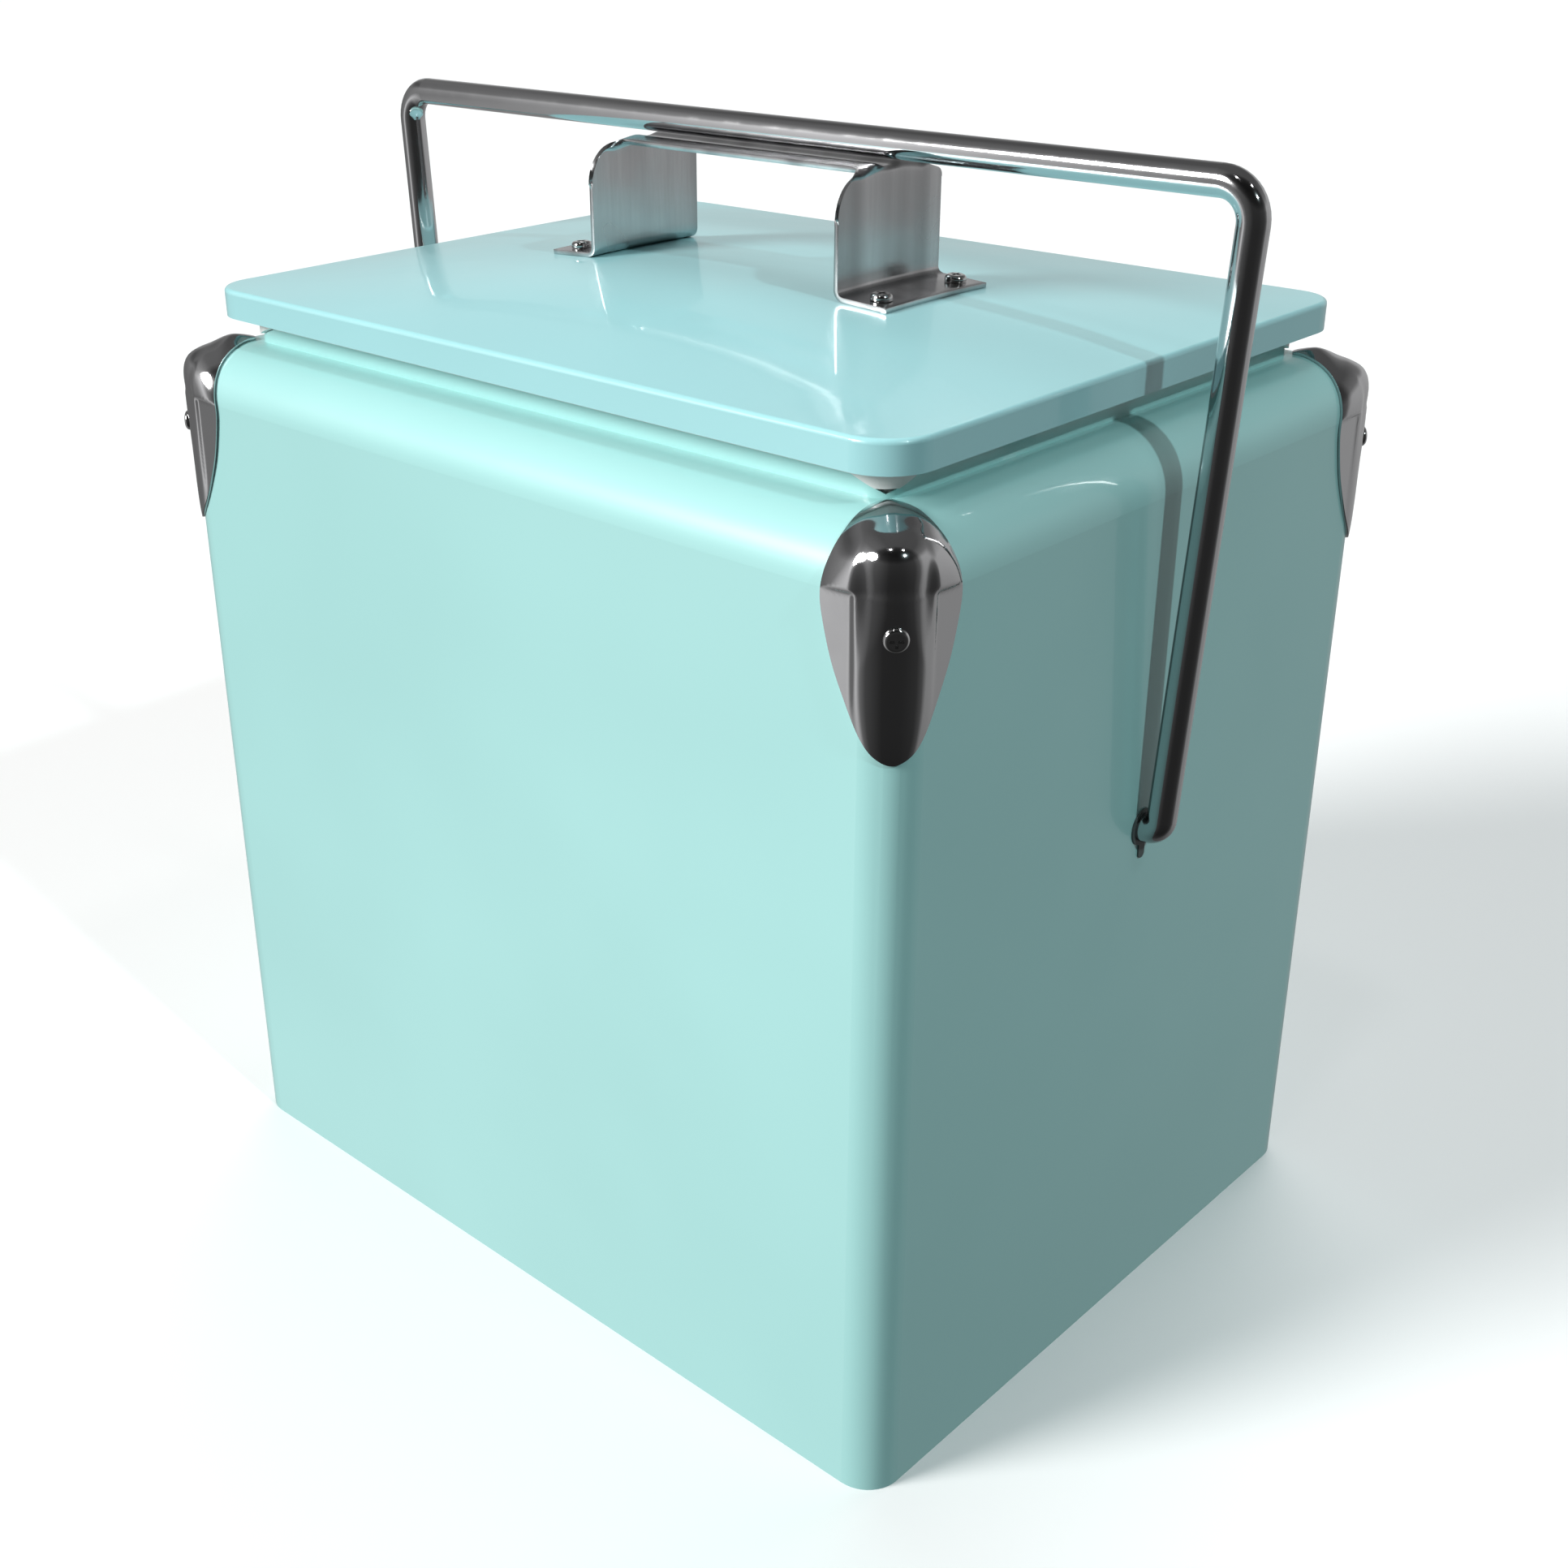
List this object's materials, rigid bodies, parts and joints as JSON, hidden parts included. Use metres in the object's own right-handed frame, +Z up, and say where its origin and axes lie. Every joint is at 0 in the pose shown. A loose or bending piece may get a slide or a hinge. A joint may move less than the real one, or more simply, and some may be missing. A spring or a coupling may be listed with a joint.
{
  "type": "insulated picnic cooler chest",
  "caption": "Insulated steel drinks chest with a lift-off crowned lid, chromed corner guards and a wire bail that locks over the lid's handle.",
  "frame": {"origin": "centre of the underside", "axes": "+Z up, +X along the long side towards one bail pivot, -Y the front"},
  "size_m": [0.3528, 0.2496, 0.3756],
  "materials": {
    "body_paint": "gloss",
    "lid_paint": "gloss",
    "pan_paint": "satin",
    "white_liner": "gloss",
    "foam": "matte",
    "guard_chrome": "polished",
    "bail_chrome": "polished",
    "bracket_steel": "satin",
    "fastener_steel": "polished",
    "plate_steel": "matte",
    "bush_nylon": "matte",
    "gasket_rubber": "matte"
  },
  "bodies": {
    "chest": {"body_shell": "body_paint", "base_pan": "pan_paint", "inner_tub": "white_liner", "body_foam": "foam", "corner_guard_front_left": "guard_chrome", "corner_guard_front_right": "guard_chrome", "corner_guard_back_left": "guard_chrome", "corner_guard_back_right": "guard_chrome", "guard_screws": "fastener_steel", "guard_nuts": "fastener_steel", "pivot_bush_left": "bush_nylon", "pivot_bush_right": "bush_nylon", "pivot_plate_left": "plate_steel", "pivot_plate_right": "plate_steel"},
    "bail": {"bail_wire": "bail_chrome", "push_nut_left": "plate_steel", "push_nut_right": "plate_steel"},
    "lid": {"lid_shell": "lid_paint", "lid_liner": "white_liner", "lid_foam": "foam", "lid_gasket": "gasket_rubber", "lid_bracket": "bracket_steel", "bracket_screws": "fastener_steel", "bracket_nuts": "fastener_steel", "backing_strip_left": "plate_steel", "backing_strip_right": "plate_steel"}
  },
  "joints": [
    {"name": "bail_swing", "type": "hinge", "parent": "chest", "child": "bail", "pos_m": [0, 0, 0.1804], "axis": [-1, 0, 0], "range_deg": [0, 138]},
    {"name": "lid_lift", "type": "slide", "parent": "chest", "child": "lid", "axis": [0, 0, 1], "range_m": [0, 0.0295]}
  ],
  "couplings": [
    {"joint": "lid_lift", "follows": "bail_swing", "m_per_rad": 0.012}
  ]
}
